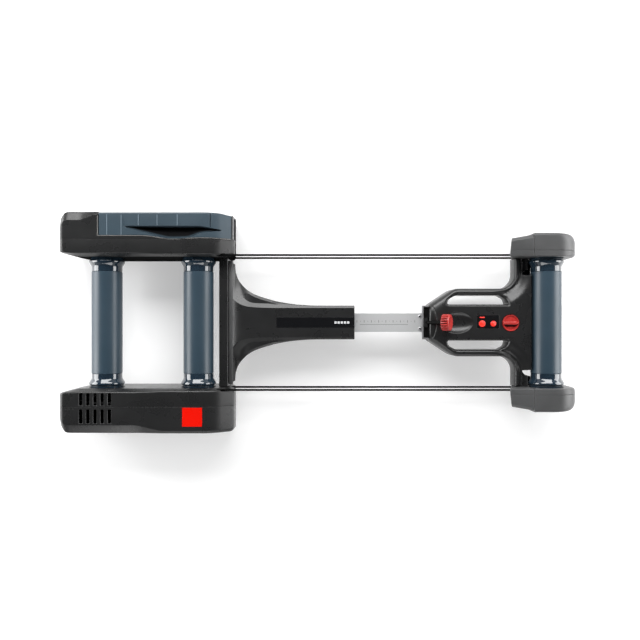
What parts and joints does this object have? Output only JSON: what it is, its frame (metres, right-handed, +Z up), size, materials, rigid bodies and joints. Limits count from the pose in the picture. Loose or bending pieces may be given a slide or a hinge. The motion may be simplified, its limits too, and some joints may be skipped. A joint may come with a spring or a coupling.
{
  "type": "bike rollers",
  "caption": "Indoor cycling rollers: drums in side pods, a fluted neck, a telescopic bar and a front head with handles, a belt-driven drum, a clamp knob and a dial.",
  "frame": {"origin": "middle of the footprint, on the floor under the rollers", "axes": "+X along the length towards the front drum, +Y towards the pod with the blue-grey cover, +Z up"},
  "size_m": [1.315, 0.558, 0.157],
  "materials": {
    "casing": "fine textured black moulding",
    "cap_plastic": "fine textured dark grey moulding",
    "grip_cover": "satin blue-grey moulding",
    "drum_sleeve": "satin blue-grey sleeve",
    "drum_gloss": "polished near black",
    "bar_metal": "satin anodised",
    "steel": "brushed",
    "dark_iron": "dark coated",
    "foot_rubber": "matt rubber",
    "belt_rubber": "smooth elastic cord",
    "red_plastic": "satin red moulding",
    "lamp": "glossy red lens",
    "board": "green solder mask",
    "socket_plastic": "black moulding"
  },
  "bodies": {
    "rear_frame": {"left_pod_inner_shell": "casing", "left_pod_outer_shell": "casing", "right_pod_inner_shell": "casing", "right_pod_outer_shell": "casing", "side_cover": "grip_cover", "crossbeam": "casing", "neck_shell": "casing", "neck_base": "casing", "neck_strip": "drum_gloss", "telescopic_bar": "bar_metal", "bar_screw_left": "steel", "bar_screw_right": "steel", "left_side_plate": "steel", "right_side_plate": "steel", "rear_bearing_left": "steel", "rear_bearing_right": "steel", "middle_bearing_left": "steel", "middle_bearing_right": "steel", "step_motor": "dark_iron", "circuit_board": "board", "power_socket": "socket_plastic", "left_belt": "belt_rubber", "right_belt": "belt_rubber", "left_rear_foot": "foot_rubber", "right_rear_foot": "foot_rubber", "left_middle_foot": "foot_rubber", "right_middle_foot": "foot_rubber"},
    "rear_drum": {"rear_drum_tube": "drum_sleeve", "rear_drum_end_left": "drum_gloss", "rear_drum_end_right": "drum_gloss", "rear_drum_axle": "steel", "brake_disc": "bar_metal"},
    "middle_drum": {"middle_drum_tube": "drum_sleeve", "middle_drum_end_left": "drum_gloss", "middle_drum_end_right": "drum_gloss", "middle_drum_axle": "steel", "flywheel": "dark_iron"},
    "front_head": {"head_shell": "casing", "head_base": "casing", "collar": "cap_plastic", "control_panel": "drum_gloss", "round_light_back": "lamp", "round_light_front": "lamp", "bar_light": "lamp", "left_arm_end": "cap_plastic", "right_arm_end": "cap_plastic", "left_end_cap": "cap_plastic", "right_end_cap": "cap_plastic", "front_bearing_left": "steel", "front_bearing_right": "steel", "left_front_foot": "foot_rubber", "right_front_foot": "foot_rubber"},
    "front_drum": {"front_drum_tube": "drum_sleeve", "front_drum_end_left": "drum_gloss", "front_drum_end_right": "drum_gloss", "front_drum_axle": "steel"},
    "clamp_knob": {"clamp_knob": "red_plastic"},
    "clamp_shoe": {"clamp_shoe": "steel"},
    "lock_dial": {"lock_dial": "red_plastic"},
    "magnet_yoke": {"magnet_yoke": "steel"}
  },
  "joints": [
    {"name": "rear_drum_spin", "type": "hinge", "parent": "rear_frame", "child": "rear_drum", "pos_m": [-0.5535, 0, 0.095], "axis": [0, 1, 0], "continuous": true},
    {"name": "middle_drum_spin", "type": "hinge", "parent": "rear_frame", "child": "middle_drum", "pos_m": [-0.316, 0, 0.095], "axis": [0, 1, 0], "continuous": true},
    {"name": "wheelbase_slide", "type": "slide", "parent": "rear_frame", "child": "front_head", "axis": [1, 0, 0], "range_m": [-0.075, 0.079], "deforming": ["left_belt", "right_belt"]},
    {"name": "front_drum_spin", "type": "hinge", "parent": "front_head", "child": "front_drum", "pos_m": [0.5865, 0, 0.095], "axis": [0, 1, 0], "continuous": true},
    {"name": "clamp_knob_turn", "type": "hinge", "parent": "front_head", "child": "clamp_knob", "pos_m": [0.3225, 0, 0.1275], "axis": [0.891, 0, 0.454], "range_deg": [0, 360]},
    {"name": "clamp_shoe_travel", "type": "slide", "parent": "front_head", "child": "clamp_shoe", "axis": [0.891, 0, 0.454], "range_m": [0, 0.00125]},
    {"name": "lock_dial_turn", "type": "hinge", "parent": "front_head", "child": "lock_dial", "pos_m": [0.4905, -0.0013, 0.112], "axis": [0, 0, 1], "range_deg": [0, 90]},
    {"name": "magnet_yoke_travel", "type": "slide", "parent": "rear_frame", "child": "magnet_yoke", "axis": [1, 0, 0], "range_m": [0, 0.012]}
  ],
  "couplings": [
    {"joint": "front_drum_spin", "follows": "middle_drum_spin", "ratio": 1},
    {"joint": "clamp_shoe_travel", "follows": "clamp_knob_turn", "m_per_rad": 0.0001989}
  ]
}
